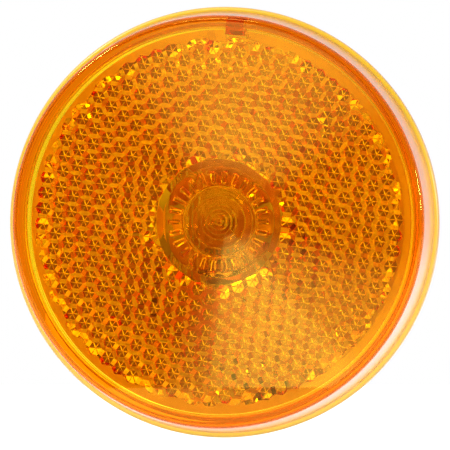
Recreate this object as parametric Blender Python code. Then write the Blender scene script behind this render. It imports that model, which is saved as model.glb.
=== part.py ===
"""Round sealed marker lamp, 2.5 in, with a reflectorised amber lens.

The lamp's axis is Y. The lens faces -Y and the connector faces +Y. The origin is on the axis,
in the plane of the flange's rear face, which bears on the mounting grommet.
"""

import math

import bmesh
import bpy
from mathutils import Matrix, Vector

MM = 0.001
GAP = 0.3 * MM                      # clearance between neighbouring pieces

# Lens moulding
FLANGE_RADIUS = 31.75 * MM          # 2.5 in across
FLANGE_THICKNESS = 2.2 * MM
LENS_HEIGHT = 12.0 * MM             # front face ahead of the flange's rear face
WALL_FOOT_RADIUS = 30.6 * MM
WALL_TOP_RADIUS = 30.2 * MM
WALL_BORE_RADIUS = 28.7 * MM
BORE_DRAFT = 0.15 * MM
EDGE_ROUND = 0.9 * MM               # outer edge of the front face
BORE_FILLET = 0.7 * MM
FACE_THICKNESS = 2.4 * MM
BOSS_RADIUS = 8.1 * MM
BOSS_FOOT_RADIUS = 9.25 * MM
BOSS_RISE = 1.0 * MM
KEY_WIDTH = 2.6 * MM
KEY_INNER_RADIUS = 27.35 * MM
KEY_ANGLE = math.radians(85)        # from +X towards +Z
KEY_LENGTH = 6.6 * MM
LENS_SIDES = 96

# Housing
TONGUE_RADIUS = WALL_BORE_RADIUS - GAP
TONGUE_DEPTH = 2.6 * MM
HOUSING_WALL = 1.8 * MM
CUP_STEP = 2.0 * MM                 # where the straight collar ends
CUP_TOP_RADIUS = 27.4 * MM
CUP_BOTTOM_RADIUS = 25.0 * MM
CUP_DEPTH = 12.0 * MM
CUP_FLOOR = 2.0 * MM
HOUSING_SIDES = 80
SOCKET_DEPTH = 18.0 * MM            # rear face of the connector socket
SOCKET_HALF_LENGTH = 12.7 * MM
SOCKET_HALF_HEIGHT = 7.2 * MM
SOCKET_WALL = 1.7 * MM
SOCKET_FLOOR = 8.5 * MM
SOCKET_FLOOR_THICKNESS = 2.0 * MM
SEAL_OUTER_RADIUS = 29.4 * MM
SEAL_HEIGHT = 1.3 * MM
SEAL_LAND = 0.3 * MM                # the lens's rear face steps in here to clear the seal
SEAT_INNER_RADIUS = SEAL_OUTER_RADIUS + 0.2 * MM

# Terminals
PIN_OFFSET = 6.35 * MM              # 0.5 in between the two pins
PIN_RADIUS = 2.285 * MM             # 0.180 in bullet
PIN_TIP = 17.0 * MM
COLLAR_RADIUS = 3.0 * MM
COLLAR_THICKNESS = 0.9 * MM
SHANK_RADIUS = 1.5 * MM
SHANK_END = 3.9 * MM
ORING_SECTION = 0.5 * MM
STRIP_THICKNESS = 0.4 * MM
STRIP_INNER_X = 5.7 * MM
STRIP_OUTER_X = 9.1 * MM
STRIP_BEND = 1.0 * MM
PUSH_NUT_RADIUS = 2.9 * MM
PUSH_NUT_THICKNESS = 0.5 * MM

# Bulb, a T-3 1/4 wedge lamp that stands upright across the lamp's axis
BULB_Y = -1.0 * MM
BULB_RADIUS = 5.15 * MM
BULB_TOP = 9.6 * MM
BULB_SHOULDER = -7.6 * MM
GLASS_WALL = 0.55 * MM
WEDGE_TOP = -9.0 * MM
WEDGE_END = -17.2 * MM
WEDGE_HALF_WIDTH = 4.65 * MM
WEDGE_HALF_THICKNESS = 1.2 * MM
LEAD_HOLE_RADIUS = 0.55 * MM
LEAD_X = 2.0 * MM
WIRE_RADIUS = 0.22 * MM
FILAMENT_Z = -3.0 * MM
FILAMENT_HALF_LENGTH = 2.0 * MM
FILAMENT_RADIUS = 0.42 * MM
FILAMENT_WIRE = 0.09 * MM
FILAMENT_TURNS = 8
BRIDGE_Z = -6.2 * MM
BULB_SIDES = 32

# Bulb holder and shock mount
HOLDER_HALF_WIDTH = 5.35 * MM
HOLDER_HALF_THICKNESS = 3.1 * MM
HOLDER_TOP = -9.6 * MM
HOLDER_BOTTOM = -16.5 * MM
BOBBIN_Z = -13.4 * MM
BOBBIN_RADIUS = 3.7 * MM
BOBBIN_WAIST = 2.5 * MM
BOBBIN_FLANGE = 1.4 * MM
PEG_RADIUS = 1.2 * MM
PEG_LENGTH = 1.6 * MM

AXIS_Y = Matrix.Rotation(math.radians(-90), 4, "X")    # local Z onto world +Y
AXIS_Z = Matrix.Identity(4)


def clear_scene():
    for old in list(bpy.data.objects):
        bpy.data.objects.remove(old, do_unlink=True)


def plastic(name, colour, roughness, metallic=0.0, transmission=0.0):
    material = bpy.data.materials.new(name)
    material.use_nodes = True
    shader = material.node_tree.nodes["Principled BSDF"]
    shader.inputs["Base Color"].default_value = (*colour, 1.0)
    shader.inputs["Roughness"].default_value = roughness
    shader.inputs["Metallic"].default_value = metallic
    shader.inputs["Transmission Weight"].default_value = transmission
    material.diffuse_color = (*colour, 1.0)
    return material


def place(mesh_maker, name, material, matrix=AXIS_Z):
    """An object from a bmesh, its scale and turn applied to the mesh."""
    bmesh.ops.recalc_face_normals(mesh_maker, faces=mesh_maker.faces)
    mesh_maker.transform(matrix)
    mesh = bpy.data.meshes.new(name)
    mesh_maker.to_mesh(mesh)
    mesh_maker.free()
    mesh.shade_smooth()
    mesh.set_sharp_from_angle(angle=math.radians(35))
    thing = bpy.data.objects.new(name, mesh)
    bpy.context.scene.collection.objects.link(thing)
    if material:
        mesh.materials.append(material)
    return thing


def turned(name, profile, sides, material, matrix=AXIS_Y):
    """A solid of revolution. The profile is a closed loop of (radius, height) points."""
    maker = bmesh.new()
    rings = []
    for radius, height in profile:
        if radius == 0:
            rings.append([maker.verts.new((0, 0, height))])
            continue
        ring = []
        for step in range(sides):
            angle = 2 * math.pi * step / sides
            ring.append(maker.verts.new((radius * math.cos(angle), radius * math.sin(angle), height)))
        rings.append(ring)
    for index, ring in enumerate(rings):
        following = rings[(index + 1) % len(rings)]
        if len(ring) == 1 and len(following) == 1:
            continue
        for step in range(sides):
            after = (step + 1) % sides
            corners = [ring[step % len(ring)], ring[after % len(ring)],
                       following[after % len(following)], following[step % len(following)]]
            maker.faces.new(list(dict.fromkeys(corners)))
    return place(maker, name, material, matrix)


def arc(centre, radius, start, end, steps):
    """Points of an arc in the profile plane, angles in degrees."""
    points = []
    for step in range(steps + 1):
        angle = math.radians(start + (end - start) * step / steps)
        points.append((centre[0] + radius * math.cos(angle), centre[1] + radius * math.sin(angle)))
    return points


def box(name, low, high, material, bevel=0.0, matrix=AXIS_Z):
    maker = bmesh.new()
    bmesh.ops.create_cube(maker, size=1.0)
    size = Vector(high) - Vector(low)
    middle = (Vector(high) + Vector(low)) / 2
    for vertex in maker.verts:
        vertex.co = Vector(a * b for a, b in zip(vertex.co, size)) + middle
    if bevel:
        bmesh.ops.bevel(maker, geom=maker.edges[:], offset=bevel, segments=2, profile=0.5,
                        affect="EDGES")
    return place(maker, name, material, matrix)


def stadium(name, half_length, half_height, start, end, material, arc_steps=12):
    """An upright slot shape along X, extruded along Y from start to end."""
    maker = bmesh.new()
    straight = half_length - half_height
    outline = []
    for side, first in ((1, -90), (-1, 90)):
        for x, z in arc((side * straight, 0), half_height, first, first + 180, arc_steps):
            outline.append((x, z))
    near = [maker.verts.new((x, start, z)) for x, z in outline]
    far = [maker.verts.new((x, end, z)) for x, z in outline]
    maker.faces.new(near)
    maker.faces.new(far)
    for index in range(len(outline)):
        after = (index + 1) % len(outline)
        maker.faces.new((near[index], near[after], far[after], far[index]))
    return place(maker, name, material)


def combine(target, other, operation):
    """A Boolean that stays on the target. The other object is only a guide."""
    other.hide_render = True
    other.display_type = "WIRE"
    modifier = target.modifiers.new(other.name, "BOOLEAN")
    modifier.operation = operation
    modifier.solver = "EXACT"
    modifier.object = other


def wire(name, points, radius, material, sides_level=1):
    """A round wire through the points, with closed ends."""
    curve = bpy.data.curves.new(name, "CURVE")
    curve.dimensions = "3D"
    curve.bevel_depth = radius
    curve.bevel_resolution = sides_level
    curve.use_fill_caps = True
    curve.materials.append(material)
    spline = curve.splines.new("POLY")
    spline.points.add(len(points) - 1)
    for point, position in zip(spline.points, points):
        point.co = (*position, 1.0)
    thing = bpy.data.objects.new(name, curve)
    bpy.context.scene.collection.objects.link(thing)
    return thing


def rounded(corners, radius, steps=4):
    """The corner points of a route, with each inner corner replaced by a short curve."""
    route = [Vector(corners[0])]
    for before, corner, after in zip(corners, corners[1:], corners[2:]):
        corner = Vector(corner)
        start = corner + (Vector(before) - corner).normalized() * radius
        end = corner + (Vector(after) - corner).normalized() * radius
        for step in range(steps + 1):
            t = step / steps
            route.append(start * (1 - t) ** 2 + corner * 2 * t * (1 - t) + end * t ** 2)
    route.append(Vector(corners[-1]))
    return route


def make_lens(material):
    front = -LENS_HEIGHT
    back_of_face = front + FACE_THICKNESS
    flange_front = -FLANGE_THICKNESS
    bore_top = WALL_BORE_RADIUS - BORE_DRAFT
    chamfer = 0.2 * MM
    profile = [(0, front)]
    profile += arc((WALL_TOP_RADIUS - EDGE_ROUND, front + EDGE_ROUND), EDGE_ROUND, -90, 0, 4)
    profile += [
        (WALL_FOOT_RADIUS, flange_front),
        (FLANGE_RADIUS - chamfer, flange_front),
        (FLANGE_RADIUS, flange_front + chamfer),
        (FLANGE_RADIUS, 0),
        (SEAT_INNER_RADIUS, 0),
        (SEAT_INNER_RADIUS, -SEAL_LAND),
        (WALL_BORE_RADIUS, -SEAL_LAND),
    ]
    profile += arc((bore_top - BORE_FILLET, back_of_face + BORE_FILLET), BORE_FILLET, 0, -90, 3)
    profile += [
        (BOSS_FOOT_RADIUS, back_of_face),
        (BOSS_RADIUS, back_of_face + BOSS_RISE),
        (0, back_of_face + BOSS_RISE),
    ]
    lens = turned("lens", profile, LENS_SIDES, material)
    key = box(
        "key_guide",
        (KEY_INNER_RADIUS, back_of_face - 1 * MM, -KEY_WIDTH / 2),
        (WALL_BORE_RADIUS + 0.8 * MM, back_of_face + KEY_LENGTH, KEY_WIDTH / 2),
        None,
        matrix=Matrix.Rotation(-KEY_ANGLE, 4, "Y"),
    )
    combine(lens, key, "UNION")


def make_housing(material):
    inner_top = TONGUE_RADIUS - HOUSING_WALL
    inner_floor = CUP_DEPTH - CUP_FLOOR
    corner = 0.8 * MM
    profile = [
        (TONGUE_RADIUS, -TONGUE_DEPTH),
        (TONGUE_RADIUS, CUP_STEP),
        (CUP_TOP_RADIUS, CUP_STEP + 1 * MM),
        (CUP_BOTTOM_RADIUS, CUP_DEPTH - corner),
        (CUP_BOTTOM_RADIUS - corner, CUP_DEPTH),
        (0, CUP_DEPTH),
        (0, inner_floor),
        (CUP_BOTTOM_RADIUS - HOUSING_WALL, inner_floor),
        (CUP_TOP_RADIUS - HOUSING_WALL, CUP_STEP + 0.6 * MM),
        (inner_top, CUP_STEP - 0.4 * MM),
        (inner_top, -TONGUE_DEPTH),
    ]
    housing = turned("housing", profile, HOUSING_SIDES, material)
    tower = stadium("socket_tower_guide", SOCKET_HALF_LENGTH, SOCKET_HALF_HEIGHT,
                    SOCKET_FLOOR - SOCKET_FLOOR_THICKNESS, SOCKET_DEPTH, None)
    combine(housing, tower, "UNION")
    peg = turned("peg_guide", [(0, inner_floor - PEG_LENGTH), (PEG_RADIUS, inner_floor - PEG_LENGTH),
                               (PEG_RADIUS, inner_floor + 1 * MM), (0, inner_floor + 1 * MM)],
                 16, None, Matrix.Translation((0, 0, BOBBIN_Z)) @ AXIS_Y)
    combine(housing, peg, "UNION")
    recess = stadium("socket_recess_guide", SOCKET_HALF_LENGTH - SOCKET_WALL,
                     SOCKET_HALF_HEIGHT - SOCKET_WALL, SOCKET_FLOOR, SOCKET_DEPTH + 1 * MM, None)
    combine(housing, recess, "DIFFERENCE")
    for side in (-1, 1):
        hole = cylinder(f"shank_hole_guide_{side}", SHANK_RADIUS + GAP, SOCKET_FLOOR - 3 * MM,
                        SOCKET_FLOOR + 1 * MM, side * PIN_OFFSET, 24)
        combine(housing, hole, "DIFFERENCE")


def cylinder(name, radius, start, end, x, sides, material=None, z=0.0):
    """A straight round bar along Y."""
    profile = [(0, start), (radius, start), (radius, end), (0, end)]
    return turned(name, profile, sides, material, Matrix.Translation((x, 0, z)) @ AXIS_Y)


def make_rim_seal(material):
    inner = TONGUE_RADIUS + GAP
    middle = (SEAL_OUTER_RADIUS + inner) / 2
    foot = GAP - SEAL_LAND
    profile = [(inner, foot), (SEAL_OUTER_RADIUS, foot), (SEAL_OUTER_RADIUS, foot + 0.3 * SEAL_HEIGHT),
               (middle, foot + 0.8 * SEAL_HEIGHT), (inner, foot + SEAL_HEIGHT)]
    turned("rim_seal", profile, LENS_SIDES, material)


def make_terminal(side_name, side, brass, rubber, steel):
    at_pin = Matrix.Translation((side * PIN_OFFSET, 0, 0)) @ AXIS_Y
    seal_middle = SOCKET_FLOOR + GAP + ORING_SECTION
    collar = seal_middle + ORING_SECTION + GAP
    nose = PIN_RADIUS * 0.75
    strip_face = SOCKET_FLOOR - SOCKET_FLOOR_THICKNESS - GAP - STRIP_THICKNESS
    nut_face = strip_face - GAP - PUSH_NUT_THICKNESS
    peen_radius = SHANK_RADIUS + 0.35 * MM
    profile = [
        (0, SHANK_END),
        (peen_radius, SHANK_END + 0.2 * MM),
        (peen_radius, nut_face - GAP),
        (SHANK_RADIUS, nut_face - GAP),
        (SHANK_RADIUS, collar),
        (COLLAR_RADIUS, collar),
        (COLLAR_RADIUS, collar + COLLAR_THICKNESS),
        (PIN_RADIUS * 0.82, collar + COLLAR_THICKNESS),
        (PIN_RADIUS * 0.82, collar + COLLAR_THICKNESS + 0.8 * MM),
        (PIN_RADIUS, collar + COLLAR_THICKNESS + 1.1 * MM),
        (PIN_RADIUS, PIN_TIP - nose),
    ]
    for angle in (30, 60):
        turn = math.radians(angle)
        profile.append((PIN_RADIUS * math.cos(turn), PIN_TIP - nose + nose * math.sin(turn)))
    profile.append((0, PIN_TIP))
    turned(f"terminal_{side_name}", profile, 24, brass, at_pin)

    ring_radius = SHANK_RADIUS + GAP + ORING_SECTION
    section = arc((ring_radius, seal_middle), ORING_SECTION, 0, 360, 8)[:-1]
    turned(f"terminal_seal_{side_name}", section, 24, rubber, at_pin)

    nut = [(SHANK_RADIUS + GAP, nut_face), (PUSH_NUT_RADIUS, nut_face),
           (PUSH_NUT_RADIUS, nut_face + PUSH_NUT_THICKNESS),
           (SHANK_RADIUS + GAP, nut_face + PUSH_NUT_THICKNESS)]
    turned(f"push_nut_{side_name}", nut, 24, steel, at_pin)


def make_contact_strip(side_name, side, brass):
    """A pad around the terminal's shank, a leg down, and a tongue forward to the bulb's lead."""
    rear = SOCKET_FLOOR - SOCKET_FLOOR_THICKNESS - GAP
    front = rear - STRIP_THICKNESS
    foot = -14.8 * MM
    tip = -2.4 * MM
    outer_path = [(rear, 0.0)]
    inner_path = [(front, 0.0)]
    inner_bend = STRIP_BEND - STRIP_THICKNESS
    outer_path += arc((rear - STRIP_BEND, foot + STRIP_BEND), STRIP_BEND, 0, -90, 4)
    inner_path += arc((rear - STRIP_BEND, foot + STRIP_BEND), inner_bend, 0, -90, 4)
    outer_path.append((tip, foot))
    inner_path.append((tip, foot + STRIP_THICKNESS))
    outline = outer_path + inner_path[::-1]
    maker = bmesh.new()
    low_x, high_x = sorted((side * STRIP_INNER_X, side * STRIP_OUTER_X))
    near = [maker.verts.new((low_x, y, z)) for y, z in outline]
    far = [maker.verts.new((high_x, y, z)) for y, z in outline]
    count = len(outer_path)
    last = len(outline) - 1
    for row in (near, far):
        for index in range(count - 1):
            maker.faces.new((row[index], row[index + 1], row[last - index - 1], row[last - index]))
    for index in range(len(outline)):
        after = (index + 1) % len(outline)
        maker.faces.new((near[index], near[after], far[after], far[index]))
    strip = place(maker, f"contact_strip_{side_name}", brass)
    pad = cylinder(f"pad_guide_{side_name}", PUSH_NUT_RADIUS, front, rear, side * PIN_OFFSET, 24)
    combine(strip, pad, "UNION")
    hole = cylinder(f"pad_hole_guide_{side_name}", SHANK_RADIUS + GAP, front - 1 * MM, rear + 1 * MM,
                    side * PIN_OFFSET, 24)
    combine(strip, hole, "DIFFERENCE")


def make_bulb_glass(material):
    upright = Matrix.Translation((0, BULB_Y, 0))
    dome_middle = BULB_TOP - BULB_RADIUS
    neck = 4.2 * MM
    outer = [(0, WEDGE_TOP), (neck, WEDGE_TOP), (BULB_RADIUS, BULB_SHOULDER)]
    outer += arc((0, dome_middle), BULB_RADIUS, 0, 75, 5)
    outer.append((0, BULB_TOP))
    glass = turned("bulb_glass", outer, BULB_SIDES, material, upright)
    wedge = box("wedge_guide", (-WEDGE_HALF_WIDTH, BULB_Y - WEDGE_HALF_THICKNESS, WEDGE_END),
                (WEDGE_HALF_WIDTH, BULB_Y + WEDGE_HALF_THICKNESS, WEDGE_TOP + 0.9 * MM), None,
                bevel=0.4 * MM)
    combine(glass, wedge, "UNION")
    inside = BULB_RADIUS - GLASS_WALL
    cavity = [(0, BULB_SHOULDER - 0.5 * MM), (inside - 1.2 * MM, BULB_SHOULDER - 0.5 * MM),
              (inside, BULB_SHOULDER + 0.7 * MM)]
    cavity += arc((0, dome_middle), inside, 0, 75, 5)
    cavity.append((0, BULB_TOP - GLASS_WALL))
    combine(glass, turned("cavity_guide", cavity, BULB_SIDES, None, upright), "DIFFERENCE")
    for side in (-1, 1):
        bore = [(0, WEDGE_END - 1 * MM), (LEAD_HOLE_RADIUS, WEDGE_END - 1 * MM),
                (LEAD_HOLE_RADIUS, BULB_SHOULDER), (0, BULB_SHOULDER)]
        hole = turned(f"lead_hole_guide_{side}", bore, 12, None,
                      Matrix.Translation((side * LEAD_X, BULB_Y, 0)))
        combine(glass, hole, "DIFFERENCE")


def make_filament(tungsten):
    points = []
    steps_per_turn = 8
    for step in range(FILAMENT_TURNS * steps_per_turn + 1):
        along = step / (FILAMENT_TURNS * steps_per_turn)
        angle = 2 * math.pi * step / steps_per_turn
        points.append((
            FILAMENT_HALF_LENGTH * (2 * along - 1),
            BULB_Y + FILAMENT_RADIUS * math.cos(angle),
            FILAMENT_Z + FILAMENT_RADIUS * math.sin(angle),
        ))
    wire("filament", points, FILAMENT_WIRE, tungsten, sides_level=0)


def make_post(side_name, side, nickel):
    top_x = side * (FILAMENT_HALF_LENGTH + 0.75 * MM)
    points = rounded([
        (side * LEAD_X, BULB_Y, WEDGE_TOP + 0.1 * MM),
        (side * LEAD_X, BULB_Y, BRIDGE_Z + 0.9 * MM),
        (top_x, BULB_Y, FILAMENT_Z + 0.7 * MM),
    ], 0.5 * MM)
    wire(f"filament_post_{side_name}", points, WIRE_RADIUS, nickel)


def make_bridge(material):
    half = LEAD_X + 1.0 * MM
    radius = 0.95 * MM
    lie_along_x = Matrix.Translation((0, BULB_Y, BRIDGE_Z)) @ Matrix.Rotation(math.radians(90), 4, "Y")
    profile = [(0, -half)] + arc((0, -half + radius), radius, -60, 0, 2)
    profile += arc((0, half - radius), radius, 0, 60, 2) + [(0, half)]
    bridge = turned("glass_bridge", profile, 16, material, lie_along_x)
    for side in (-1, 1):
        bore = [(0, -2 * MM), (LEAD_HOLE_RADIUS, -2 * MM), (LEAD_HOLE_RADIUS, 2 * MM), (0, 2 * MM)]
        hole = turned(f"bridge_hole_guide_{side}", bore, 12, None,
                      Matrix.Translation((side * LEAD_X, BULB_Y, BRIDGE_Z)))
        combine(bridge, hole, "DIFFERENCE")


def make_lead(side_name, side, nickel, solder):
    """From the pinch, out under the holder and up to the contact strip's tongue."""
    below = WEDGE_END - 0.9 * MM
    end_x = 7.4 * MM
    end_z = -15.45 * MM
    points = rounded([
        (side * LEAD_X, BULB_Y, WEDGE_TOP - 0.4 * MM),
        (side * LEAD_X, BULB_Y, below),
        (side * (end_x - 1.3 * MM), BULB_Y, below),
        (side * (end_x - 0.6 * MM), BULB_Y, end_z),
        (side * end_x, BULB_Y, end_z),
    ], 0.5 * MM)
    wire(f"lead_wire_{side_name}", points, WIRE_RADIUS, nickel)
    nugget = [(0, -0.45 * MM), (0.45 * MM, -0.35 * MM), (0.6 * MM, 0), (0.45 * MM, 0.3 * MM),
              (0, 0.33 * MM)]
    turned(f"weld_spot_{side_name}", nugget, 12, solder,
           Matrix.Translation((side * (end_x + 0.95 * MM), BULB_Y, end_z)))


def make_holder(material):
    holder = box("bulb_holder", (-HOLDER_HALF_WIDTH, BULB_Y - HOLDER_HALF_THICKNESS, HOLDER_BOTTOM),
                 (HOLDER_HALF_WIDTH, BULB_Y + HOLDER_HALF_THICKNESS, HOLDER_TOP), material,
                 bevel=0.5 * MM)
    pocket = box("pocket_guide",
                 (-WEDGE_HALF_WIDTH - GAP, BULB_Y - WEDGE_HALF_THICKNESS - GAP, HOLDER_BOTTOM - 1 * MM),
                 (WEDGE_HALF_WIDTH + GAP, BULB_Y + WEDGE_HALF_THICKNESS + GAP, HOLDER_TOP + 1 * MM),
                 None)
    back = BULB_Y + HOLDER_HALF_THICKNESS
    peg = cylinder("holder_peg_guide", PEG_RADIUS, back - 0.8 * MM, back + PEG_LENGTH, 0.0, 16,
                   z=BOBBIN_Z)
    combine(holder, peg, "UNION")
    combine(holder, pocket, "DIFFERENCE")


def make_bobbin(material):
    """A rubber spool, bored through, on the housing's peg and the holder's peg."""
    start = BULB_Y + HOLDER_HALF_THICKNESS + GAP
    end = CUP_DEPTH - CUP_FLOOR - GAP
    bore = PEG_RADIUS + GAP
    profile = [
        (bore, start), (BOBBIN_RADIUS, start), (BOBBIN_RADIUS, start + BOBBIN_FLANGE),
        (BOBBIN_WAIST, start + BOBBIN_FLANGE + 0.6 * MM),
        (BOBBIN_WAIST, end - BOBBIN_FLANGE - 0.6 * MM),
        (BOBBIN_RADIUS, end - BOBBIN_FLANGE), (BOBBIN_RADIUS, end), (bore, end),
    ]
    turned("shock_bobbin", profile, 24, material, Matrix.Translation((0, 0, BOBBIN_Z)) @ AXIS_Y)


def main():
    clear_scene()
    amber = plastic("amber_polycarbonate", (0.90, 0.32, 0.01), 0.05, transmission=0.9)
    shell = plastic("housing_plastic", (0.82, 0.82, 0.80), 0.45)
    epoxy = plastic("seal_epoxy", (0.80, 0.78, 0.72), 0.3)
    brass = plastic("brass", (0.78, 0.57, 0.25), 0.3, metallic=1.0)
    steel = plastic("spring_steel", (0.55, 0.55, 0.56), 0.35, metallic=1.0)
    rubber = plastic("rubber", (0.03, 0.03, 0.03), 0.75)
    glass = plastic("bulb_glass", (0.95, 0.97, 0.97), 0.02, transmission=1.0)
    nickel = plastic("nickel_wire", (0.66, 0.63, 0.58), 0.3, metallic=1.0)
    tungsten = plastic("tungsten", (0.35, 0.35, 0.36), 0.45, metallic=1.0)
    solder = plastic("weld_metal", (0.70, 0.70, 0.70), 0.4, metallic=1.0)

    make_lens(amber)
    make_housing(shell)
    make_rim_seal(epoxy)
    make_bulb_glass(glass)
    make_filament(tungsten)
    make_bridge(glass)
    make_holder(shell)
    make_bobbin(rubber)
    for side_name, side in (("left", -1), ("right", 1)):
        make_terminal(side_name, side, brass, rubber, steel)
        make_contact_strip(side_name, side, brass)
        make_post(side_name, side, nickel)
        make_lead(side_name, side, nickel, solder)


main()
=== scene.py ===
import math

import bmesh
import bpy
from mathutils import Matrix, Vector


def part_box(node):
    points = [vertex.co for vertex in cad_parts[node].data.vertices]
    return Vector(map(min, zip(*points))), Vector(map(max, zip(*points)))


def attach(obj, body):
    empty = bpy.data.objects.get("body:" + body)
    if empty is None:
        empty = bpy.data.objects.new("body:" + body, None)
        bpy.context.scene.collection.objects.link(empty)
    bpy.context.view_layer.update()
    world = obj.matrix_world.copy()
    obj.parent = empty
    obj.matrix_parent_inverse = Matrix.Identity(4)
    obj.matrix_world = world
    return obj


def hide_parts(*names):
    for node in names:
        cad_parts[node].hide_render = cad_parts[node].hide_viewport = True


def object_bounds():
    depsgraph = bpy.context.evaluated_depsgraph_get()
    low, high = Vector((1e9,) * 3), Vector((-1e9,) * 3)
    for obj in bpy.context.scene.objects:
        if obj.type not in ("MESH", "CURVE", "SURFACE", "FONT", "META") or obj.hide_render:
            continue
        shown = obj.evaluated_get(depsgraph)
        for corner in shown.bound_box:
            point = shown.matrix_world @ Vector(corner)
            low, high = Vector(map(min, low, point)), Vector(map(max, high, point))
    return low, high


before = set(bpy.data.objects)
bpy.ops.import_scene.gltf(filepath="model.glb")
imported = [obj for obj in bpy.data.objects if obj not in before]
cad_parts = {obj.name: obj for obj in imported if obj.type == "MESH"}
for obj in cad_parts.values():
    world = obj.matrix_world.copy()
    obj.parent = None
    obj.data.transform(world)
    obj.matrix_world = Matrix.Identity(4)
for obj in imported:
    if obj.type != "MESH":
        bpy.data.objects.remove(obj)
cadLow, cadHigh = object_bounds()
mm = 0.001
scene = bpy.context.scene
print("frame loaded,", len(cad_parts), "nodes")


# shader maths

class Sig:  # one output socket, with arithmetic on it
    def __init__(self, maker, socket):
        self.maker = maker
        self.socket = socket

    def sums(self, operation, first, second):
        return self.maker.node("ShaderNodeMath", {"operation": operation}, {0: first, 1: second})

    def __add__(self, other):
        return self.sums("ADD", self, other)

    def __sub__(self, other):
        return self.sums("SUBTRACT", self, other)

    def __rsub__(self, other):
        return self.sums("SUBTRACT", other, self)

    def __mul__(self, other):
        return self.sums("MULTIPLY", self, other)

    def __pow__(self, other):
        return self.sums("POWER", self, other)

    def __rpow__(self, other):
        return self.sums("POWER", other, self)

    __radd__ = __add__
    __rmul__ = __mul__

    def above(self, limit):
        return self.sums("GREATER_THAN", self, limit)

    def inside(self, low, high):
        return self.above(low) * (1 - self.above(high))

    def atLeast(self, other):
        return self.sums("MAXIMUM", self, other)

    def absolute(self):
        return self.maker.node("ShaderNodeMath", {"operation": "ABSOLUTE"}, {0: self})

    def fade(self, start, end, low, high):  # a soft ramp from low at start to high at end
        return self.maker.node("ShaderNodeMapRange", {"interpolation_type": "SMOOTHSTEP"},
                               {0: self, 1: start, 2: end, 3: low, 4: high})


class Finish:  # a node tree being written
    def __init__(self, tree):
        self.tree = tree

    def node(self, kind, settings=None, sockets=None, out=0):
        made = self.tree.nodes.new(kind)
        for name, value in (settings or {}).items():
            if name == "stops":
                ramp = made.color_ramp
                while len(ramp.elements) < len(value):
                    ramp.elements.new(0.5)
                for stop, (place, colour) in zip(ramp.elements, value):
                    stop.position = place
                    stop.color = colour
            else:
                setattr(made, name, value)
        for name, value in (sockets or {}).items():
            if isinstance(value, Sig):
                self.tree.links.new(value.socket, made.inputs[name])
            else:
                made.inputs[name].default_value = value
        return Sig(self, made.outputs[out])


def blend(finish, factor, first, second):
    return finish.node("ShaderNodeMix", {"data_type": "RGBA"},
                       {"Factor": factor, 6: first, 7: second}, 2)


def position(finish):
    place = finish.node("ShaderNodeTexCoord", None, None, "Object")
    return place, [finish.node("ShaderNodeSeparateXYZ", None, {0: place}, n) for n in range(3)]


def noise(finish, place, scale, detail=3.0):
    return finish.node("ShaderNodeTexNoise", None, {"Vector": place, "Scale": scale, "Detail": detail})


def newMaterial(name, plain, build=None):
    material = bpy.data.materials.new(name)
    material.use_nodes = True
    tree = material.node_tree
    tree.nodes.clear()
    finish = Finish(tree)
    sockets = dict(plain)
    if build:
        sockets.update(build(finish))
    shader = finish.node("ShaderNodeBsdfPrincipled", None, sockets)
    output = tree.nodes.new("ShaderNodeOutputMaterial")
    tree.links.new(shader.socket, output.inputs["Surface"])
    return material, finish, output


# mesh helpers

def ring(maker, radius, y, sides):
    if radius == 0:
        return [maker.verts.new((0, y, 0))]
    made = []
    for step in range(sides):
        angle = 2 * math.pi * step / sides
        made.append(maker.verts.new((radius * math.cos(angle), y, radius * math.sin(angle))))
    return made


def skin(maker, first, second):
    sides = max(len(first), len(second))
    for step in range(sides):
        after = (step + 1) % sides
        corners = [first[step % len(first)], first[after % len(first)],
                   second[after % len(second)], second[step % len(second)]]
        maker.faces.new(list(dict.fromkeys(corners)))


def arc(centre, radius, start, end, steps):
    points = []
    for step in range(steps + 1):
        angle = math.radians(start + (end - start) * step / steps)
        points.append((centre[0] + radius * math.cos(angle), centre[1] + radius * math.sin(angle)))
    return points


def toObject(maker, name, material, sharp=30, smooth=False):
    bmesh.ops.recalc_face_normals(maker, faces=maker.faces)
    if smooth:
        for face in maker.faces:
            face.smooth = True
    mesh = bpy.data.meshes.new(name)
    maker.to_mesh(mesh)
    maker.free()
    rounded = [face.use_smooth for face in mesh.polygons]
    mesh.set_sharp_from_angle(angle=math.radians(sharp))
    mesh.polygons.foreach_set("use_smooth", rounded)
    mesh.materials.append(material)
    piece = bpy.data.objects.new(name, mesh)
    scene.collection.objects.link(piece)
    return piece


def lathe(maker, profile, sides, turn=None):
    # a closed outline of (radius, y) turned round the axis
    rings = [ring(maker, radius, y, sides) for radius, y in profile]
    for first, second in zip(rings, rings[1:] + rings[:1]):
        if len(first) + len(second) > 2:
            skin(maker, first, second)
    if turn:
        bmesh.ops.transform(maker, matrix=turn, verts=[vertex for one in rings for vertex in one])
    return rings


def stadium(maker, halfLength, halfHeight, stations, steps=14):
    # a long round-ended bar along Y, each station an (inset, y)
    rings = []
    for inset, y in stations:
        radius = halfHeight - inset
        middle = halfLength - halfHeight
        row = []
        for side, first in ((1, -90), (-1, 90)):
            for step in range(steps + 1):
                angle = math.radians(first + 180 * step / steps)
                row.append(maker.verts.new((side * middle + radius * math.cos(angle), y,
                                            radius * math.sin(angle))))
        rings.append(row)
    for first, second in zip(rings, rings[1:]):
        skin(maker, first, second)
    maker.faces.new(rings[0])
    maker.faces.new(rings[-1])


def combine(piece, maker, operation, sharp=30):
    # joins or cuts the piece with the maker's closed shape
    other = toObject(maker, "other", piece.data.materials[0], sharp, smooth=True)
    change = piece.modifiers.new("change", "BOOLEAN")
    change.operation = operation
    change.solver = "EXACT"
    change.object = other
    view = bpy.context.evaluated_depsgraph_get()
    mesh = bpy.data.meshes.new_from_object(piece.evaluated_get(view))
    piece.modifiers.clear()
    piece.data = mesh
    bpy.data.objects.remove(other)


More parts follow.
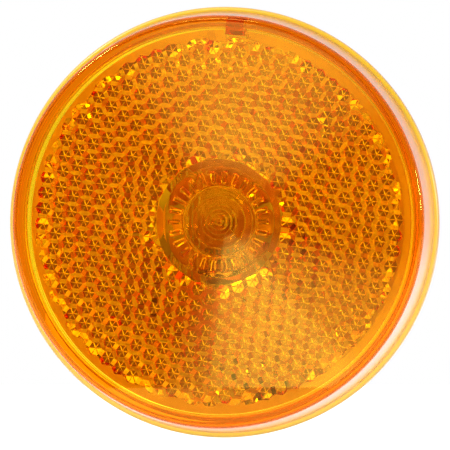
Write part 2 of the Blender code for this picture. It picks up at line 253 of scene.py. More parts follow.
# the amber lens

lensPlan = {
    "sides": 240,
    "wallFoot": 30.92 * mm,
    "wallTop": 30.2 * mm,
    "bore": 28.7 * mm,
    "boreTop": 28.55 * mm,
    "edgeRound": 0.9 * mm,
    "boreFillet": 0.35 * mm,
    "plate": 2.4 * mm,
    "flange": 2.2 * mm,
    "flangeRound": 0.25 * mm,
    "flangeLip": 0.5 * mm,
    "pitch": 2.28 * mm,          # across the flats of one prism cell
    "turn": 23,                  # degrees from +X to the nearest neighbour cell
    "fieldOuter": 27.0 * mm,
    "fieldInner": 9.2 * mm,
    "fieldMargin": 0.15 * mm,    # a facet this close to the outer limit is left out
    "lift": 0.1 * mm,            # foot of the prisms behind the plate
    "edgeSoften": 0.09 * mm,     # on the three edges that meet at a prism's tip
    "edgeSteps": 4,
    "rimSoften": 0.45 * mm,      # between neighbouring cells
    "rimSteps": 1,
    "tipMargin": 0.05 * mm,
    "facetArea": 0.11 * mm * mm,     # a larger face is one of the flat facets
    "seatOuter": 30.8 * mm,
    "sealLand": 0.3 * mm,
    "bossFoot": 9.15 * mm,
    "bossTop": 8.1 * mm,
    "bossRise": 0.65 * mm,
    "floorRings": (7.6, 5.45, 14),          # outer and inner radius in millimetres, and steps
    # the bead round the bullseye: radius and height in millimetres
    "bead": ((5.34, 0.22), (5.24, 0.28), (5.14, 0.22), (5.03, 0.0)),
    # rings of the bullseye in millimetres: outer radius, inner radius and height
    "eyeRings": ((4.94, 3.85, 0.34), (3.85, 2.6, 0.4), (2.6, 1.9, 0.26), (1.9, 1.25, 0.24),
                 (1.25, 0.5, 0.26), (0.5, 0.0, 0.12)),
    "eyeStep": 0.045,            # millimetres, half the width of the step between rings
    "eyeSteps": 5,
    "markCount": 26,
    "markMiddle": 6.5 * mm,
    "markReach": 0.95 * mm,
    "markHeight": 0.3 * mm,
    "keyAngle": 85,
    "keyWidth": 2.6 * mm,
    "keyInner": 27.35 * mm,
    "keyLength": 6.6 * mm,
    "keyRoot": 0.5 * mm,         # how far the key runs into the wall
    "keySink": 0.6 * mm,         # and into the plate
    "keyRound": 0.12 * mm,
}

amberPlan = {
    "absorb": (12.0, 122.0, 1780.0),   # per metre, red green blue
    "ior": 1.58,
    "glance": (1.0, 0.8, 0.12, 1.0),   # tint of reflections
    "coatIor": 1.62,
    "coatRough": 0.3,
    "wallRadius": 29.95 * mm,          # the side wall is moulded matt, the rest is polished
    "wallFrom": 11.35 * mm,
    "wallRough": 0.5,
    "keyOuter": 29.7 * mm,
    "keyFrom": 11.5 * mm,
    # painted shade: the front face over the locating key is painted deep red
    "keyPaintedShade": (0.55, 0.04, 0.0, 1.0),
    "wallPaintedShade": (0.84, 0.66, 0.9, 1.0),     # painted shade: the thick matt edges are painted a little darker
    # painted shade: the flange is painted darker
    "flangePaintedShade": (0.86, 0.70, 0.8, 1.0),
    "flangeFrom": 31.15 * mm,
    # painted shade: the front face over the side wall is painted a deeper orange, as the light seen
    # there runs a long way through the wall
    "bandPaintedShade": (0.85, 0.56, 0.8, 1.0),
    "bandFrom": 28.6 * mm,
    # painted shade: the bore fillet is painted darker to dim the bright line of light along it
    "cornerPaintedShade": (0.94, 0.74, 0.9, 1.0),
    "cornerFrom": 28.1 * mm,
    # painted shade: the ring of dashes is painted darker, against the light the dashes gather from the
    # sides
    "markPaintedShade": (0.92, 0.72, 0.9, 1.0),
    "markFrom": 5.45 * mm,
    "markTo": 8.0 * mm,
    "cloudScale": 90.0,
    "fineScale": 2600.0,
    "bump": 0.6,
    "bumpDepth": 0.00001,
}


def amberMaterial():
    densest = max(amberPlan["absorb"])

    def build(finish):
        place, (x, y, z) = position(finish)
        radius = (x * x + z * z) ** 0.5
        behindRim = y.above(-amberPlan["wallFrom"])
        wall = radius.above(amberPlan["wallRadius"]) * behindRim
        cloud = noise(finish, place, amberPlan["cloudScale"])
        fine = noise(finish, place, amberPlan["fineScale"], 2.0)
        rough = wall * amberPlan["wallRough"] * (cloud * 0.6 + 0.7)
        # the locating key shows through the rim as a deep red block, painted on the front face as shade
        # for the long path of light through the key
        turn = math.radians(lensPlan["keyAngle"])
        outward = x * math.cos(turn) + z * math.sin(turn)
        aside = (z * math.cos(turn) - x * math.sin(turn)).absolute()
        key = (outward.inside(lensPlan["keyInner"], amberPlan["keyOuter"])
               * (1 - aside.above(lensPlan["keyWidth"] / 2)) * (1 - y.above(-amberPlan["keyFrom"])))
        # painted shade: the tints below darken zones of the clear amber, starting with the side wall
        tone = blend(finish, wall, (1, 1, 1, 1), amberPlan["wallPaintedShade"])
        # painted shade on the front band over the side wall
        band = radius.above(amberPlan["bandFrom"]) * (1 - behindRim)
        tone = blend(finish, band, tone, amberPlan["bandPaintedShade"])
        # painted shade on the bore fillet
        corner = radius.inside(amberPlan["cornerFrom"], lensPlan["bore"])
        tone = blend(finish, corner, tone, amberPlan["cornerPaintedShade"])
        # painted shade on the ring of dashes
        marks = radius.inside(amberPlan["markFrom"], amberPlan["markTo"])
        tone = blend(finish, marks, tone, amberPlan["markPaintedShade"])
        # painted shade on the flange
        tone = blend(finish, radius.above(amberPlan["flangeFrom"]), tone, amberPlan["flangePaintedShade"])
        tone = blend(finish, key, tone, amberPlan["keyPaintedShade"])
        bump = finish.node("ShaderNodeBump", None,
                           {"Strength": amberPlan["bump"], "Distance": amberPlan["bumpDepth"],
                            "Height": fine * wall})
        return {"Base Color": tone, "Roughness": rough, "Normal": bump, "Coat Weight": wall}

    material, finish, output = newMaterial("amberPolycarbonate", {
        "IOR": amberPlan["ior"], "Transmission Weight": 1.0,
        "Specular Tint": amberPlan["glance"],
        "Coat IOR": amberPlan["coatIor"], "Coat Roughness": amberPlan["coatRough"]}, build)
    colour = tuple(1 - value / densest for value in amberPlan["absorb"]) + (1,)
    volume = finish.node("ShaderNodeVolumeAbsorption", None, {"Color": colour, "Density": densest})
    finish.tree.links.new(volume.socket, output.inputs["Volume"])
    return material


def prismField(maker, plan, plateY):
    pitch = plan["pitch"]
    cube = pitch / math.sqrt(2)
    step = cube / math.sqrt(3)
    corner = pitch / math.sqrt(3)
    foot = plateY + plan["lift"]
    turn = math.radians(plan["turn"])
    reach = int(plan["fieldOuter"] / pitch) + 2
    points = {}

    def point(x, z, level):
        key = (round(x / mm, 3), round(z / mm, 3))
        if key not in points:
            radius = math.hypot(x, z)
            trimmed = min(max(radius, plan["fieldInner"]), plan["fieldOuter"]) / radius
            points[key] = maker.verts.new((x * trimmed, foot + level * step, z * trimmed))
        return points[key]

    for i in range(-reach, reach + 1):
        for j in range(-reach, reach + 1):
            along = Vector((pitch, 0)) * i + Vector((pitch / 2, pitch * math.sqrt(3) / 2)) * j
            cx = along.x * math.cos(turn) - along.y * math.sin(turn)
            cz = along.x * math.sin(turn) + along.y * math.cos(turn)
            for k in range(3):
                spots = []
                for n in (-1, 0, 1):
                    angle = turn + math.radians(90 + 120 * k + 60 * n)
                    spots.append((cx + corner * math.cos(angle), cz + corner * math.sin(angle)))
                middle = math.hypot(cx + spots[1][0], cz + spots[1][1]) / 2
                if plan["fieldInner"] < middle < plan["fieldOuter"] - plan["fieldMargin"]:
                    maker.faces.new((point(cx, cz, 2), point(*spots[0], 1),
                                     point(*spots[1], 0), point(*spots[2], 1)))


def wallsToPlate(maker, plateY):
    rim = [edge for edge in maker.edges if len(edge.link_faces) == 1]
    made = bmesh.ops.extrude_edge_only(maker, edges=rim)["geom"]
    for item in made:
        if isinstance(item, bmesh.types.BMVert):
            item.co.y = plateY


def soften(maker, plan):
    # the edges between cells are rounded wide, the ones to each tip stay narrow
    maker.normal_update()
    tipY = max(vertex.co.y for vertex in maker.verts) - plan["tipMargin"]

    def slopes(edge):
        return len(edge.link_faces) == 2 and all(abs(face.normal.y) > 0.2 for face in edge.link_faces)

    between = [edge for edge in maker.edges if slopes(edge)
               and max(vertex.co.y for vertex in edge.verts) < tipY]
    bmesh.ops.bevel(maker, geom=between, offset=plan["rimSoften"], segments=plan["rimSteps"],
                    profile=0.5, affect="EDGES")
    toTip = [edge for edge in maker.edges if slopes(edge)
             and max(vertex.co.y for vertex in edge.verts) > tipY]
    bmesh.ops.bevel(maker, geom=toTip, offset=plan["edgeSoften"], segments=plan["edgeSteps"],
                    profile=0.5, affect="EDGES")
    for face in maker.faces:
        face.smooth = face.calc_area() < plan["facetArea"]


def markHeight(plan, radius, angle):
    # plain raised dashes round the bullseye, with sloped sides
    band = max(0.0, 1 - ((radius - plan["markMiddle"]) / plan["markReach"]) ** 8)
    wave = math.cos(angle * plan["markCount"])
    return plan["markHeight"] * band * max(0.0, min(1.0, (wave - 0.2) * 2.5))


def makeLens(plan, material):
    low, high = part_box("lens")
    front = low.y
    plateY = front + plan["plate"]
    flangeRadius = high.x
    sides = plan["sides"]
    maker = bmesh.new()
    prismField(maker, plan, plateY)
    wallsToPlate(maker, plateY)
    soften(maker, plan)
    prisms = set(maker.faces)
    loops = [edge for edge in maker.edges if len(edge.link_faces) == 1]
    print("prism field:", len(maker.faces), "faces,", len(loops), "rim edges")

    halfway = 18 * mm       # between the two limits of the field
    outerLoop = [edge for edge in loops if edge.verts[0].co.length > halfway]
    innerLoop = [edge for edge in loops if edge.verts[0].co.length <= halfway]

    # front face, side wall, flange, seat for the epoxy and bore, as (radius, y)
    wallTop, wallFoot, edge = plan["wallTop"], plan["wallFoot"], plan["edgeRound"]
    flangeFront, lip, r = -plan["flange"], plan["flangeLip"], plan["flangeRound"]
    bore, land, inner = plan["bore"], plan["sealLand"], plan["boreTop"] - plan["boreFillet"]
    small = 0.1 * mm
    foot = 0.15 * mm
    profile = [(0, front), (24 * mm, front), (wallTop - edge - small, front)]
    profile += arc((wallTop - edge, front + edge), edge, -90, 0, 8)
    profile += [(wallTop + 0.01 * mm, front + edge + small),
                (wallFoot - 0.005 * mm, flangeFront - 0.3 * mm)]
    profile += arc((wallFoot + foot, flangeFront - foot), foot, 180, 90, 3)
    profile += [(flangeRadius - lip - 0.28 * mm, flangeFront),
                (flangeRadius - lip - 0.18 * mm, flangeFront + small)]
    profile += arc((flangeRadius - lip, flangeFront + small + lip), lip, -90, 0, 6)
    profile += arc((flangeRadius - r, -r), r, 0, 90, 4)
    profile += [(plan["seatOuter"], 0), (bore + small, -land), (bore, -land - small)]
    profile += arc((inner, plateY + plan["boreFillet"]), plan["boreFillet"], 0, -90, 6)
    profile += [(inner - small, plateY)]
    rings = [ring(maker, radius, y, sides) for radius, y in profile]
    for first, second in zip(rings, rings[1:]):
        skin(maker, first, second)

    def circleEdges(one):
        return [maker.edges.get((one[n], one[(n + 1) % sides])) for n in range(sides)]

    filled = bmesh.ops.triangle_fill(maker, use_beauty=True, edges=outerLoop + circleEdges(rings[-1]))
    print("plate outside the prisms:", len(filled["geom"]))

    boss = [(plan["bossFoot"], plateY), (plan["bossFoot"] - 0.1 * mm, plateY + 0.06 * mm)]
    top = plateY + plan["bossRise"]
    boss += [(plan["bossTop"] + 0.15 * mm, top - 0.08 * mm), (plan["bossTop"], top)]
    floorOuter, floorInner, count = plan["floorRings"]
    for n in range(count + 1):
        boss.append(((floorOuter + (floorInner - floorOuter) * n / count) * mm, top))
    boss += [(radius * mm, top + height * mm) for radius, height in plan["bead"]]
    for outerR, innerR, rise in plan["eyeRings"]:
        for n in range(plan["eyeSteps"] + 1):
            radius = outerR + (innerR - outerR) * n / plan["eyeSteps"]
            height = rise * (outerR ** 2 - radius ** 2) / (outerR ** 2 - innerR ** 2)
            if n == 0:
                radius -= plan["eyeStep"]
            if n == plan["eyeSteps"] and innerR > 0:
                radius += plan["eyeStep"]
            boss.append((radius * mm, top + height * mm))
    bossRings = []
    for radius, y in boss:
        one = ring(maker, radius, y, sides)
        for vertex in one:
            vertex.co.y += markHeight(plan, radius, math.atan2(vertex.co.z, vertex.co.x))
        bossRings.append(one)
    for first, second in zip(bossRings, bossRings[1:]):
        skin(maker, first, second)
    filled = bmesh.ops.triangle_fill(maker, use_beauty=True,
                                     edges=innerLoop + circleEdges(bossRings[0]))
    print("plate inside the prisms:", len(filled["geom"]))
    for face in maker.faces:
        if face not in prisms:
            face.smooth = True
    return toObject(maker, "lens_moulding", material)


def addKey(lens, plan):
    # the locating key joins the bore and the back of the plate
    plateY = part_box("lens")[0].y + plan["plate"]
    outer = plan["bore"] + plan["keyRoot"]
    maker = bmesh.new()
    size = (outer - plan["keyInner"], plan["keyLength"] + plan["keySink"], plan["keyWidth"])
    centre = Vector(((outer + plan["keyInner"]) / 2, plateY - plan["keySink"] + size[1] / 2, 0))
    turn = Matrix.Rotation(-math.radians(plan["keyAngle"]), 4, "Y")
    bmesh.ops.create_cube(maker, size=1, matrix=turn @ Matrix.Translation(centre)
                          @ Matrix.Diagonal((*size, 1)))
    ends = [edge for edge in maker.edges if min(vertex.co.y for vertex in edge.verts) > plateY]
    bmesh.ops.bevel(maker, geom=ends, offset=plan["keyRound"], segments=2, affect="EDGES")
    combine(lens, maker, "UNION")


amber = amberMaterial()
lens = makeLens(lensPlan, amber)
addKey(lens, lensPlan)
check = bmesh.new()
check.from_mesh(lens.data)
openEdges = sum(1 for edge in check.edges if len(edge.link_faces) != 2)
check.free()
print("lens faces", len(lens.data.polygons), "open edges", openEdges)
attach(lens, "root")
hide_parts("lens")


# surface finishes

def surface(name, plan, extra=None):
    # two tones mixed by a soft cloud, uneven gloss and a fine bump
    def build(finish):
        place, axes = position(finish)
        cloud = noise(finish, place, plan["cloud"])
        grain = noise(finish, place, plan["grain"], 2.0)
        stops = ((0.35, (0, 0, 0, 1)), (0.65, (1, 1, 1, 1)))
        ramp = finish.node("ShaderNodeValToRGB", {"stops": stops}, {"Fac": cloud})
        tone = blend(finish, ramp, (*plan["tones"][0], 1), (*plan["tones"][1], 1))
        # the housing's extra paints light and shade inside its bowl
        if extra:
            tone = extra(finish, axes, tone)
        low, high = plan["rough"]
        bump = finish.node("ShaderNodeBump", None, {"Strength": plan["bump"], "Distance": plan["depth"],
                                                    "Height": grain})
        return {"Base Color": tone, "Roughness": cloud * (high - low) + low, "Normal": bump}

    return newMaterial(name, plan.get("plain", {}), build)[0]


finishPlans = {
    "housing": {"cloud": 60.0, "grain": 5200.0, "tones": ((0.36, 0.37, 0.38), (0.43, 0.44, 0.45)),
                "rough": (0.36, 0.56), "bump": 0.35, "depth": 0.00004},
    "holder": {"cloud": 140.0, "grain": 4200.0, "tones": ((0.36, 0.15, 0.07), (0.45, 0.20, 0.10)),
               "rough": (0.4, 0.6), "bump": 0.3, "depth": 0.00003},
    "rubber": {"cloud": 200.0, "grain": 3800.0, "tones": ((0.022, 0.022, 0.023), (0.045, 0.044, 0.043)),
               "rough": (0.55, 0.85), "bump": 0.5, "depth": 0.00005},
    "brass": {"cloud": 260.0, "grain": 6500.0, "tones": ((0.72, 0.49, 0.19), (0.86, 0.66, 0.33)),
              "rough": (0.2, 0.42), "bump": 0.2, "depth": 0.00002, "plain": {"Metallic": 1.0}},
    "bronze": {"cloud": 260.0, "grain": 6500.0, "tones": ((0.58, 0.30, 0.12), (0.70, 0.40, 0.18)),
               "rough": (0.28, 0.5), "bump": 0.2, "depth": 0.00002, "plain": {"Metallic": 1.0}},
    "spring": {"cloud": 300.0, "grain": 6000.0, "tones": ((0.44, 0.44, 0.46), (0.60, 0.60, 0.61)),
               "rough": (0.26, 0.48), "bump": 0.2, "depth": 0.00002, "plain": {"Metallic": 1.0}},
    "nickel": {"cloud": 500.0, "grain": 8000.0, "tones": ((0.58, 0.55, 0.50), (0.70, 0.68, 0.63)),
               "rough": (0.22, 0.4), "bump": 0.2, "depth": 0.00001, "plain": {"Metallic": 1.0}},
    "tungsten": {"cloud": 900.0, "grain": 9000.0, "tones": ((0.26, 0.26, 0.27), (0.40, 0.40, 0.42)),
                 "rough": (0.35, 0.55), "bump": 0.3, "depth": 0.00001, "plain": {"Metallic": 1.0}},
    "weld": {"cloud": 1200.0, "grain": 7000.0, "tones": ((0.42, 0.41, 0.40), (0.74, 0.73, 0.71)),
             "rough": (0.25, 0.6), "bump": 0.5, "depth": 0.00004, "plain": {"Metallic": 1.0}},
    "epoxy": {"cloud": 110.0, "grain": 1500.0, "tones": ((0.90, 0.87, 0.78), (0.98, 0.96, 0.91)),
              "rough": (0.3, 0.6), "bump": 0.4, "depth": 0.00008,
              "plain": {"IOR": 1.5, "Transmission Weight": 0.9}},
    "glass": {"cloud": 120.0, "grain": 700.0, "tones": ((0.96, 0.97, 0.97), (1.0, 1.0, 1.0)),
              "rough": (0.0, 0.03), "bump": 0.15, "depth": 0.00003,
              "plain": {"IOR": 1.5, "Transmission Weight": 1.0}},
}

bowlPaintedLightPlan = {
    "tone": (0.90, 0.88, 0.40, 1.0),     # painted light: the inside of the bowl is painted the colour of the amber light that comes in through the lens
    # painted shade, darker towards the middle of the bowl
    "middlePaintedShade": (0.52, 0.20, 0.10, 1.0),
    "middleRadius": 10.5 * mm,
    # painted shade, darker towards the edge of the bowl
    "edgePaintedShade": (0.72, 0.46, 0.18, 1.0),
    "edgeRadius": 24.9 * mm,
    "radius": 27.0 * mm,
    "from": 2.0 * mm,
    "taper": 0.24,
    "floor": 10.9 * mm,
    "lip": 1.9 * mm,
}


# paints the light that comes in through the lens onto the inside of the bowl, with painted shade in the
# middle and at the edge
def bowlPaintedLight(finish, axes, tone):
    x, y, z = axes
    radius = (x * x + z * z) ** 0.5
    past = (y - bowlPaintedLightPlan["from"]).atLeast(0.0)
    sloped = radius + past * bowlPaintedLightPlan["taper"]
    hollow = (1 - sloped.above(bowlPaintedLightPlan["radius"])) * (1 - y.above(bowlPaintedLightPlan["floor"]))
    inside = hollow.atLeast(1 - y.above(bowlPaintedLightPlan["lip"]))
    paintedLightAndShade = blend(finish, radius.above(bowlPaintedLightPlan["edgeRadius"]), bowlPaintedLightPlan["tone"], bowlPaintedLightPlan["edgePaintedShade"])
    paintedLightAndShade = blend(finish, radius.above(bowlPaintedLightPlan["middleRadius"]), bowlPaintedLightPlan["middlePaintedShade"], paintedLightAndShade)
    return blend(finish, inside, tone, paintedLightAndShade)


looks = {name: surface(name + "Surface", plan, bowlPaintedLight if name == "housing" else None)
         for name, plan in finishPlans.items()}
print("finishes made:", len(looks))


# the housing

housingPlan = {
    "sides": 200,
    # outlines in millimetres: (radius, y) for the cup, (inset, y) for the tower and its recess
    "skirt": ((28.15, -2.6), (28.32, -2.53), (28.4, -2.35), (28.4, 1.75), (28.36, 1.95), (28.26, 2.1),
              (27.62, 2.72), (27.46, 2.9), (27.38, 3.15)),
    "rear": ((19.1, 12.0), (18.95, 11.94), (18.85, 11.78), (18.1, 11.78), (18.0, 11.94),
             (17.85, 12.0), (0, 12.0), (0, 10.0), (22.1, 10.0)),
    "bowl": ((25.5, 2.75), (25.62, 2.35), (26.3, 1.75), (26.52, 1.5), (26.6, 1.2), (26.6, -2.35),
             (26.68, -2.53), (26.85, -2.6)),
    "rearCorner": ((23.55, 10.45), 1.55, 8, 90, 7),
    "bowlCorner": ((22.2, 9.0), 1.0, 90, 8, 5),
    "tower": ((0.3, 6.5), (0.09, 6.59), (0.0, 6.8), (0.0, 11.2), (-0.85, 11.9), (-0.8, 12.02),
              (-0.42, 12.1), (-0.18, 12.3), (-0.04, 12.6), (0.0, 13.0), (0.06, 17.5), (0.15, 17.8),
              (0.33, 17.95), (0.5, 18.0)),
    "towerSize": (12.7 * mm, 7.2 * mm),     # half length and half height
    "recess": ((0.45, 8.5), (0.2, 8.56), (0.05, 8.75), (0.0, 9.0), (-0.08, 17.4), (-0.2, 17.7),
               (-0.5, 18.3)),
    "recessSize": (11.0 * mm, 5.5 * mm),
    "hole": ((0, 5), (1.8, 5), (1.8, 8.35), (2.05, 8.8), (0, 8.8)),
    "peg": (1.2 * mm, 8.4 * mm, -13.4 * mm),     # radius, tip and height on the lamp
    "pegRound": 0.2 * mm,
    "pegRoot": 10.5 * mm,
    "pinX": 6.35 * mm,
    "marks": (40, 140, 220, 320),       # ejector marks on the rear face, in degrees
    "markRadius": 1.7 * mm,
    "markPlace": 20.6 * mm,
    "markDepth": 0.18 * mm,
    "rearFace": 12 * mm,
    "ribs": 12,
    "ribPlace": (23.6 * mm, 8.1 * mm, 0),
    "ribSize": (2.6 * mm, 5.0 * mm, 0.9 * mm),
    "ribRound": 0.2 * mm,
}


def millimetres(points):
    return [(a * mm, b * mm) for a, b in points]


def makeHousing(plan, material):
    profile = [*plan["skirt"], *arc(*plan["rearCorner"]), *plan["rear"], *arc(*plan["bowlCorner"]),
               *plan["bowl"]]
    maker = bmesh.new()
    lathe(maker, millimetres(profile), plan["sides"])
    body = toObject(maker, "housing_shell", material, 30, smooth=True)

    tower = bmesh.new()
    stadium(tower, *plan["towerSize"], millimetres(plan["tower"]))
    combine(body, tower, "UNION")

    for number in range(plan["ribs"]):
        rib = bmesh.new()
        turn = Matrix.Rotation(2 * math.pi * (number + 0.5) / plan["ribs"], 4, "Y")
        place = Matrix.Translation(plan["ribPlace"])
        size = Matrix.Diagonal((*plan["ribSize"], 1))
        bmesh.ops.create_cube(rib, size=1, matrix=turn @ place @ size)
        bmesh.ops.bevel(rib, geom=list(rib.edges), offset=plan["ribRound"], segments=2, affect="EDGES")
        combine(body, rib, "UNION")

    recess = bmesh.new()
    stadium(recess, *plan["recessSize"], millimetres(plan["recess"]))
    combine(body, recess, "DIFFERENCE")

    for side in (-1, 1):
        hole = bmesh.new()
        lathe(hole, millimetres(plan["hole"]), 40, Matrix.Translation((side * plan["pinX"], 0, 0)))
        combine(body, hole, "DIFFERENCE")

    radius, top, z = plan["peg"]
    peg = bmesh.new()
    small, root = plan["pegRound"], plan["pegRoot"]
    lathe(peg, [(0, top), (radius - small, top), (radius, top + small), (radius, root), (0, root)],
          32, Matrix.Translation((0, 0, z)))
    combine(body, peg, "UNION")

    for angle in plan["marks"]:
        mark = bmesh.new()
        turn = Matrix.Rotation(-math.radians(angle), 4, "Y")
        turn = turn @ Matrix.Translation((plan["markPlace"], 0, 0))
        radius = plan["markRadius"]
        bottom, above = plan["rearFace"] - plan["markDepth"], plan["rearFace"] + 0.6 * mm
        lathe(mark, [(0, bottom), (radius, bottom), (radius, above), (0, above)], 40, turn)
        combine(body, mark, "DIFFERENCE")
    return body


housing = makeHousing(housingPlan, looks["housing"])
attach(housing, "root")
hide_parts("housing")
print("housing faces", len(housing.data.polygons))


# the bead of epoxy behind the rim

sealPlan = {
    "inner": 28.72 * mm,
    "outer": 29.38 * mm,
    "height": 1.25 * mm,
    "gap": 0.02 * mm,           # to the flange
    "corner": (0.05 * mm, 0.06 * mm),
    "steps": 9,
    "hollow": 1.8,              # how far the slope sags
    "sides": 220,
    "waves": ((7, 0.05), (19, 0.03), (41, 0.02)),   # turns of unevenness and how deep, in mm
}


def makeSeal(plan, material):
    inner, outer, height = plan["inner"], plan["outer"], plan["height"]
    wide = outer - inner
    gap, (cornerIn, cornerUp) = plan["gap"], plan["corner"]
    profile = [(inner, gap), (outer - cornerIn, gap), (outer, cornerUp)]
    for step in range(1, plan["steps"]):
        part = step / plan["steps"]
        profile.append((outer - wide * part, 0.1 * mm + height * part ** plan["hollow"] * 0.93))
    profile.append((inner, height))
    maker = bmesh.new()
    for one in lathe(maker, profile, plan["sides"])[3:-1]:
        for vertex in one:
            angle = math.atan2(vertex.co.z, vertex.co.x)
            sway = sum(depth * math.sin(turns * angle + turns) for turns, depth in plan["waves"])
            vertex.co.y = max(vertex.co.y + sway * mm, 0.03 * mm)
    return toObject(maker, "epoxy_bead", material, 50, smooth=True)


seal = makeSeal(sealPlan, looks["epoxy"])
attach(seal, "root")
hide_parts("rim_seal")
print("epoxy bead faces", len(seal.data.polygons))


# the two bullet terminals and their seals

pinPlan = {
    "offset": 6.35 * mm,
    "sides": 64,
    "outline": [(0, 3.9), (1.55, 3.92), (1.78, 4.05), (1.85, 4.2), (1.85, 4.78), (1.78, 4.9),
                (1.5, 4.9), (1.5, 10.1), (2.85, 10.1), (2.97, 10.15), (3.0, 10.25), (3.0, 10.88),
                (2.95, 10.97), (2.85, 11.0), (1.97, 11.0), (1.88, 11.08), (1.87, 11.75),
                (1.95, 11.85), (2.15, 12.05), (2.26, 12.13), (2.285, 12.25)],
    "nose": (2.285, 15.29, 1.71),       # radius, where the dome starts, and its height
    "noseSteps": 9,
    "ring": (2.3, 9.3, 0.5),            # radius, y and section of the gasket
}


def makeTerminal(name, side, plan, material):
    radius, start, length = plan["nose"]
    outline = list(plan["outline"])
    for step in range(plan["noseSteps"]):
        angle = math.radians(90 * step / plan["noseSteps"])
        outline.append((radius * math.cos(angle), start + length * math.sin(angle)))
    outline.append((0, start + length))
    maker = bmesh.new()
    lathe(maker, millimetres(outline), plan["sides"], Matrix.Translation((side * plan["offset"], 0, 0)))
    return toObject(maker, name, material, 30, smooth=True)


def makeRing(name, side, plan, material):
    radius, y, section = plan["ring"]
    outline = arc((radius, y), section, 0, 360, 20)[:-1]
    maker = bmesh.new()
    lathe(maker, millimetres(outline), 56, Matrix.Translation((side * plan["offset"], 0, 0)))
    return toObject(maker, name, material, 60, smooth=True)


for word, side in (("left", -1), ("right", 1)):
    pin = makeTerminal("bullet_pin_" + word, side, pinPlan, looks["brass"])
    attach(pin, "root")
    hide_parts("terminal_" + word)
    gasket = makeRing("pin_gasket_" + word, side, pinPlan, looks["rubber"])
    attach(gasket, "root")
    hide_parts("terminal_seal_" + word)
print("terminals and gaskets made")


# finishes of the pieces inside the lamp

inside = {"bulb_holder": "holder", "shock_bobbin": "rubber", "contact_strip": "bronze",
          "push_nut": "spring", "filament": "tungsten", "filament_post": "nickel",
          "lead_wire": "nickel", "weld_spot": "weld", "bulb_glass": "glass", "glass_bridge": "glass"}
for name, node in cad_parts.items():
    for key, look in inside.items():
        if name.startswith(key):
            for slot in node.material_slots:
                slot.material = looks[look]
print("inner pieces finished")


# stage, light and camera

stagePlan = {
    "floorRings": (0.1, 0.25, 0.45),
    "floorSides": 96,
    "floorGap": 0.0002,
    "floorGlow": 0.85,
    "cameraAway": 1.0,
    "cameraTurn": 5.15,
    "cameraRise": -0.36,
    "lensLength": 542.0,
    "aim": (0.0, 0.0, -0.0004),
    # place, sides and power of each softbox
    "lights": {"keyTop": ((-0.06, -0.5, 0.5), (0.2, 0.12), 0.7),
               "sideLeft": ((-0.366, -0.28, 0.436), (0.12, 0.12), 1.6),
               "sideRight": ((0.56, -0.28, 0.10), (0.12, 0.12), 1.6)},
    "bounces": (32, 24, 24),        # in all, off mirrors and through clear plastic
}


def makeFloor(plan):
    maker = bmesh.new()
    level, sides = cadLow.z - plan["floorGap"], plan["floorSides"]
    rings = [[maker.verts.new((0, 0, level))]]
    for radius in plan["floorRings"]:
        angles = [2 * math.pi * step / sides for step in range(sides)]
        rings.append([maker.verts.new((radius * math.cos(angle), radius * math.sin(angle), level))
                      for angle in angles])
    for first, second in zip(rings, rings[1:]):
        skin(maker, first, second)
    look = newMaterial("paleFloor", {"Base Color": (0.9, 0.9, 0.9, 1), "Roughness": 0.6,
                                     "Emission Color": (1, 1, 1, 1),
                                     "Emission Strength": plan["floorGlow"]})[0]
    toObject(maker, "floor", look, smooth=True)


skyPlan = {
    "front": 0.31,                  # the dim side, where the camera stands
    "frontFade": (-0.8, -0.1),
    "cardSide": -0.9,               # the cards stand only on the camera's side
    "frontTone": (1.0, 0.28, 0.14, 1.0),
    "cardX": 0.0897,
    "cardZ": -0.0063,
    "cardReach": 0.06,
    "returned": 0.085,
    # middle, half width and soft edge in degrees, brightness, and how far out the card starts
    "cards": ((-72.0, 24.0, 5.0, 1.8, 0.002), (-62.0, 34.0, 26.0, 2.6, 0.004),
              (80.0, 30.0, 26.0, 2.6, 0.011)),
}


def cardGlow(finish, plan, across, up):
    turn = finish.node("ShaderNodeMath", {"operation": "ARCTAN2"}, {0: up, 1: across})
    reach = (across * across + up * up) ** 0.5
    glow = 0.0
    for middle, width, edge, strength, start in plan["cards"]:
        off = (turn - math.radians(middle)).absolute()
        sector = off.fade(math.radians(width + edge), math.radians(width - edge), 0.0, strength)
        glow = sector * reach.fade(0.6 * start, start, 0.0, 1.0) + glow
    return glow * reach.fade(plan["cardReach"], 0.6 * plan["cardReach"], 0.0, 1.0)


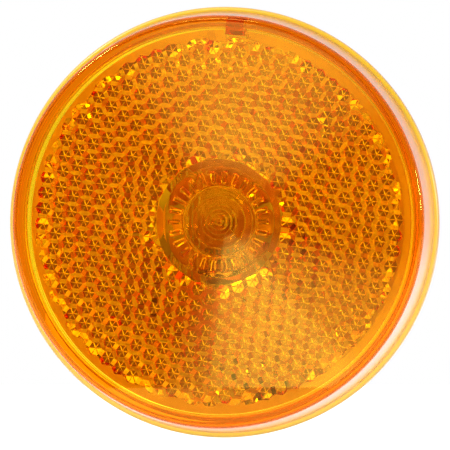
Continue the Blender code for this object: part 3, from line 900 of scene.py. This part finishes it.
def makeWorld(plan):
    world = bpy.data.worlds.new("studio")
    scene.world = world
    world.use_nodes = True
    tree = world.node_tree
    tree.nodes.clear()
    finish = Finish(tree)
    direction = finish.node("ShaderNodeTexCoord", None, None, "Generated")
    x, y, z = (finish.node("ShaderNodeSeparateXYZ", None, {0: direction}, n) for n in range(3))
    rear = y.fade(*plan["frontFade"], plan["front"], 1.0)
    # two pale cards stand where the flat face of the lens reflects them, and the prisms
    # send a little of the light beside the camera straight back in the same fans
    glow = cardGlow(finish, plan, x + plan["cardX"], z + plan["cardZ"])
    glow = cardGlow(finish, plan, plan["cardX"] - x, plan["cardZ"] - z) * plan["returned"] + glow
    forward = 1 - y.above(plan["cardSide"])
    backdrop = finish.node("ShaderNodeLightPath", None, None, "Is Camera Ray")
    strength = backdrop.atLeast(rear + glow * forward)
    tone = blend(finish, strength, plan["frontTone"], (1, 1, 1, 1))
    back = finish.node("ShaderNodeBackground", None, {"Color": tone, "Strength": strength})
    output = tree.nodes.new("ShaderNodeOutputWorld")
    tree.links.new(back.socket, output.inputs["Surface"])


def softbox(name, place, size, power):
    light = bpy.data.lights.new(name, "AREA")
    light.shape = "RECTANGLE"
    light.size, light.size_y = size
    light.energy = power
    thing = bpy.data.objects.new(name, light)
    thing.location = place
    thing.rotation_mode = "QUATERNION"
    thing.rotation_quaternion = Vector(place).to_track_quat("Z", "Y")
    scene.collection.objects.link(thing)


def makeCamera(plan):
    data = bpy.data.cameras.new("camera")
    data.lens = plan["lensLength"]
    data.sensor_width = 36
    camera = bpy.data.objects.new("camera", data)
    turn, rise = math.radians(plan["cameraTurn"]), math.radians(plan["cameraRise"])
    back = Vector((math.sin(turn) * math.cos(rise), -math.cos(turn) * math.cos(rise), math.sin(rise)))
    camera.location = back * plan["cameraAway"] + Vector(plan["aim"])
    camera.rotation_mode = "QUATERNION"
    camera.rotation_quaternion = back.to_track_quat("Z", "Y")
    data.clip_start, data.clip_end = 0.05, 50
    scene.collection.objects.link(camera)
    scene.camera = camera


makeFloor(stagePlan)
makeWorld(skyPlan)
for name, (place, size, power) in stagePlan["lights"].items():
    softbox(name, place, size, power)
makeCamera(stagePlan)
scene.view_settings.view_transform = "Standard"
cycles = scene.cycles
cycles.max_bounces, cycles.glossy_bounces, cycles.transmission_bounces = stagePlan["bounces"]
cycles.blur_glossy = 0.0
print("floor, sky, lights and camera placed")
